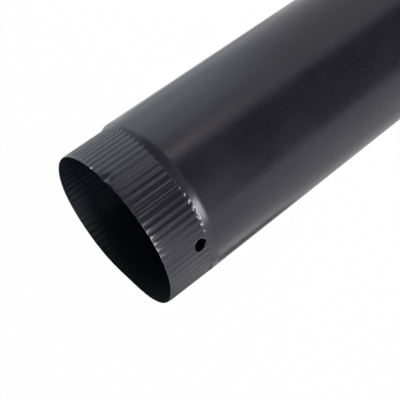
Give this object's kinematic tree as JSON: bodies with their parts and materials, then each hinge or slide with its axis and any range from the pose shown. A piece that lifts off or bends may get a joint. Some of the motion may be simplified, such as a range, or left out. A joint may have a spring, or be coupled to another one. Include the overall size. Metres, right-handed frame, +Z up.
{
  "type": "stove pipe",
  "caption": "Round black sheet-steel stove pipe, open right through, with a plain end and a stepped, crimped end that slips inside the next pipe.",
  "frame": {"origin": "centre of the plain end's rim, on the surface that the pipe stands on", "axes": "+Z up along the pipe's axis, from the plain end to the crimped end; the round side hole is on the front, at -Y"},
  "size_m": [0.1538, 0.1536, 0.61],
  "materials": {
    "stove_paint": "satin black heat-resisting paint on sheet steel"
  },
  "bodies": {
    "root": {"stove_pipe": "stove_paint"}
  },
  "joints": []
}
